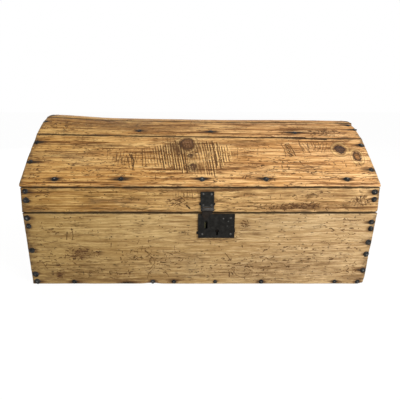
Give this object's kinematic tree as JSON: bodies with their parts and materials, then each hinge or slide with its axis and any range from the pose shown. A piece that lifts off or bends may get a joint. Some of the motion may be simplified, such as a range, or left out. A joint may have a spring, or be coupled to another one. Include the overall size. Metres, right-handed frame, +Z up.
{
  "type": "dome-top trunk",
  "caption": "Wooden trunk with a planked dome lid on snipe hinges, a hinged hasp, a plate lock and an end handle each side.",
  "frame": {"origin": "on the floor, under the middle of the body", "axes": "+X along the trunk to the viewer's right, +Y from the lock side to the hinge side, +Z up"},
  "size_m": [0.9402, 0.5308, 0.4301],
  "materials": {
    "body_pine": "old waxed pine, worn and stained",
    "lid_pine": "old waxed pine, warmer than the body",
    "black_iron": "forged, blackened",
    "rusty_iron": "forged, brown with rust"
  },
  "bodies": {
    "carcase": {"front_board": "body_pine", "back_board": "body_pine", "left_end_board": "body_pine", "right_end_board": "body_pine", "bottom_board_front": "body_pine", "bottom_board_rear": "body_pine", "left_corner_nail_1": "black_iron", "left_corner_nail_2": "black_iron", "left_corner_nail_3": "black_iron", "left_corner_nail_4": "black_iron", "left_corner_nail_5": "black_iron", "right_corner_nail_1": "black_iron", "right_corner_nail_2": "black_iron", "right_corner_nail_3": "black_iron", "right_corner_nail_4": "black_iron", "right_corner_nail_5": "black_iron", "lock_plate": "black_iron", "lock_case": "black_iron", "key_pin": "rusty_iron", "bolt_spring": "rusty_iron", "left_hinge_body_eye": "black_iron", "right_hinge_body_eye": "black_iron", "left_handle_front_eye": "black_iron", "left_handle_rear_eye": "black_iron", "right_handle_front_eye": "black_iron", "right_handle_rear_eye": "black_iron", "lock_plate_nail_1": "black_iron", "lock_plate_nail_2": "black_iron", "lock_plate_nail_3": "black_iron"},
    "lid": {"lid_front_rim": "lid_pine", "lid_back_rim": "lid_pine", "lid_left_end": "lid_pine", "lid_right_end": "lid_pine", "lid_lower_front_plank": "lid_pine", "lid_upper_front_plank": "lid_pine", "lid_crown_plank": "lid_pine", "lid_upper_back_plank": "lid_pine", "lid_lower_back_plank": "lid_pine", "front_joint_lath": "lid_pine", "back_joint_lath": "lid_pine", "lid_edge_nail_1": "black_iron", "lid_edge_nail_2": "black_iron", "lid_edge_nail_3": "black_iron", "lid_edge_nail_4": "black_iron", "lid_edge_nail_5": "black_iron", "lath_nail_1": "black_iron", "lath_nail_2": "black_iron", "lath_nail_3": "black_iron", "left_hinge_lid_eye": "black_iron", "right_hinge_lid_eye": "black_iron", "hasp_leaf": "black_iron", "hasp_pin": "rusty_iron", "hasp_nail_1": "black_iron", "hasp_nail_2": "black_iron", "hasp_nail_3": "black_iron", "hasp_nail_4": "black_iron"},
    "hasp_tongue": {"hasp_tongue": "rusty_iron"},
    "lock_bolt": {"lock_bolt": "rusty_iron"},
    "left_handle": {"left_handle": "black_iron"},
    "right_handle": {"right_handle": "black_iron"}
  },
  "joints": [
    {"name": "lid_hinge", "type": "hinge", "parent": "carcase", "child": "lid", "pos_m": [0, 0.252, 0.2043], "axis": [-1, 0, 0], "range_deg": [0, 98]},
    {"name": "hasp_hinge", "type": "hinge", "parent": "lid", "child": "hasp_tongue", "pos_m": [0.0185, -0.2648, 0.2151], "axis": [-1, 0, 0], "range_deg": [0, 170]},
    {"name": "bolt_slide", "type": "slide", "parent": "carcase", "child": "lock_bolt", "axis": [-1, 0, 0], "range_m": [0, 0.01]},
    {"name": "left_handle_hinge", "type": "hinge", "parent": "carcase", "child": "left_handle", "pos_m": [-0.4605, 0, 0.125], "axis": [0, 1, 0], "range_deg": [-6, 185]},
    {"name": "right_handle_hinge", "type": "hinge", "parent": "carcase", "child": "right_handle", "pos_m": [0.4605, 0, 0.125], "axis": [0, -1, 0], "range_deg": [-6, 185]}
  ]
}
